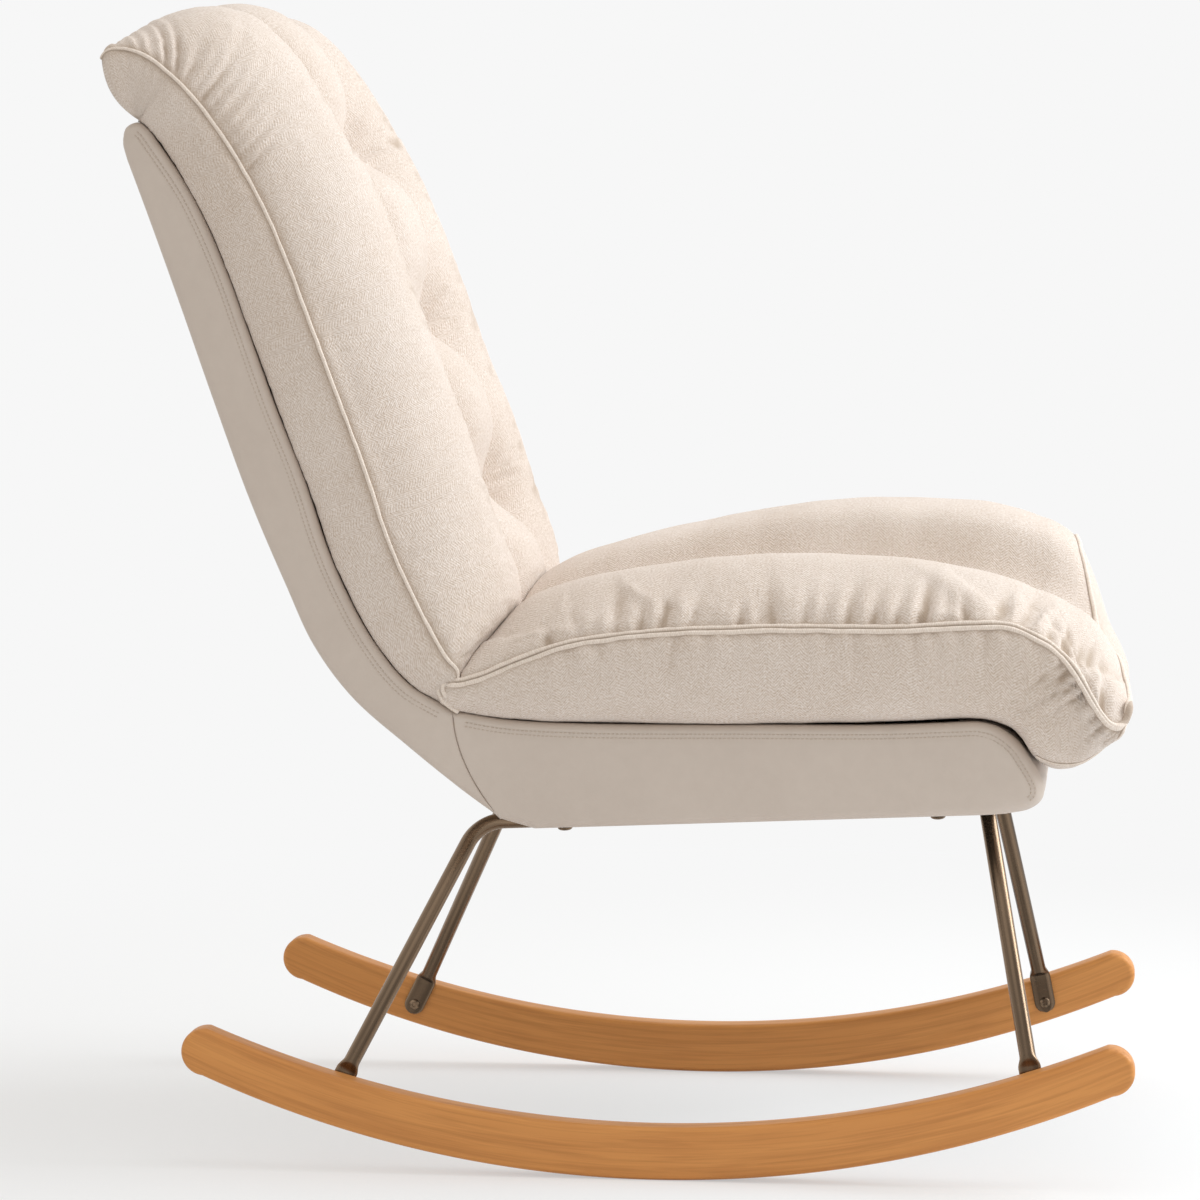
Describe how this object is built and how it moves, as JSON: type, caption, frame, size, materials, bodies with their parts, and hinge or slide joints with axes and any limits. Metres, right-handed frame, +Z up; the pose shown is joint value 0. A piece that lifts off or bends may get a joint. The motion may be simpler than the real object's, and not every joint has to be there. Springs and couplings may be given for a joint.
{
  "type": "rocking chair",
  "caption": "Upholstered rocking chair: thick seat and back cushions in a leatherette shell, on a bent steel tube frame fixed to two curved timber runners.",
  "frame": {"origin": "On the floor under the middle of the chair's overall box.", "axes": "+X to the sitter's left, +Y to the rear of the chair, +Z up; the sitter faces -Y."},
  "size_m": [0.568, 1.0132, 1.1375],
  "materials": {
    "runner_timber": "clear satin lacquer over pale hardwood, lengthwise grain",
    "bronze_steel": "satin bronze coating on steel tube and screws",
    "shell_leatherette": "smooth greige leatherette, fine grain, double top stitch at the edge",
    "cushion_fabric": "cream woven upholstery fabric with a fine diagonal weave, corded seams",
    "plywood": "raw birch plywood",
    "hardboard": "raw hardboard",
    "elastic_webbing": "woven elastic webbing",
    "dust_lining": "black non-woven lining",
    "zinc_steel": "zinc plated"
  },
  "bodies": {
    "root": {"runner_right": "runner_timber", "runner_left": "runner_timber", "seat_board": "plywood", "dust_cover": "dust_lining", "front_rail": "plywood", "seat_bolt_front_right": "bronze_steel", "tee_nut_front_right": "zinc_steel", "seat_bolt_rear_right": "bronze_steel", "tee_nut_rear_right": "zinc_steel", "seat_bolt_front_left": "bronze_steel", "tee_nut_front_left": "zinc_steel", "seat_bolt_rear_left": "bronze_steel", "tee_nut_rear_left": "zinc_steel", "leg_and_rail_right": "bronze_steel", "leg_and_rail_left": "bronze_steel", "front_leg_hoop": "bronze_steel", "back_side_cover_right": "shell_leatherette", "seat_side_cover_right": "shell_leatherette", "back_cheek_right": "plywood", "seat_cheek_right": "plywood", "back_side_cover_left": "shell_leatherette", "seat_side_cover_left": "shell_leatherette", "back_cheek_left": "plywood", "seat_cheek_left": "plywood", "back_cover": "shell_leatherette", "front_cover": "shell_leatherette", "back_panel": "hardboard", "lumbar_rail": "plywood", "top_rail": "plywood", "seat_web_1": "elastic_webbing", "seat_web_2": "elastic_webbing", "seat_web_3": "elastic_webbing", "seat_web_4": "elastic_webbing", "seat_web_5": "elastic_webbing", "seat_web_6": "elastic_webbing", "back_web_1": "elastic_webbing", "back_web_2": "elastic_webbing", "back_web_3": "elastic_webbing", "back_web_4": "elastic_webbing", "back_web_5": "elastic_webbing", "back_web_6": "elastic_webbing", "back_web_7": "elastic_webbing", "back_web_8": "elastic_webbing", "foot_screw_front_right": "bronze_steel", "runner_insert_front_right": "zinc_steel", "foot_screw_rear_right": "bronze_steel", "runner_insert_rear_right": "zinc_steel", "foot_screw_front_left": "bronze_steel", "runner_insert_front_left": "zinc_steel", "foot_screw_rear_left": "bronze_steel", "runner_insert_rear_left": "zinc_steel", "back_cushion": "cushion_fabric", "seat_cushion": "cushion_fabric"}
  },
  "joints": []
}
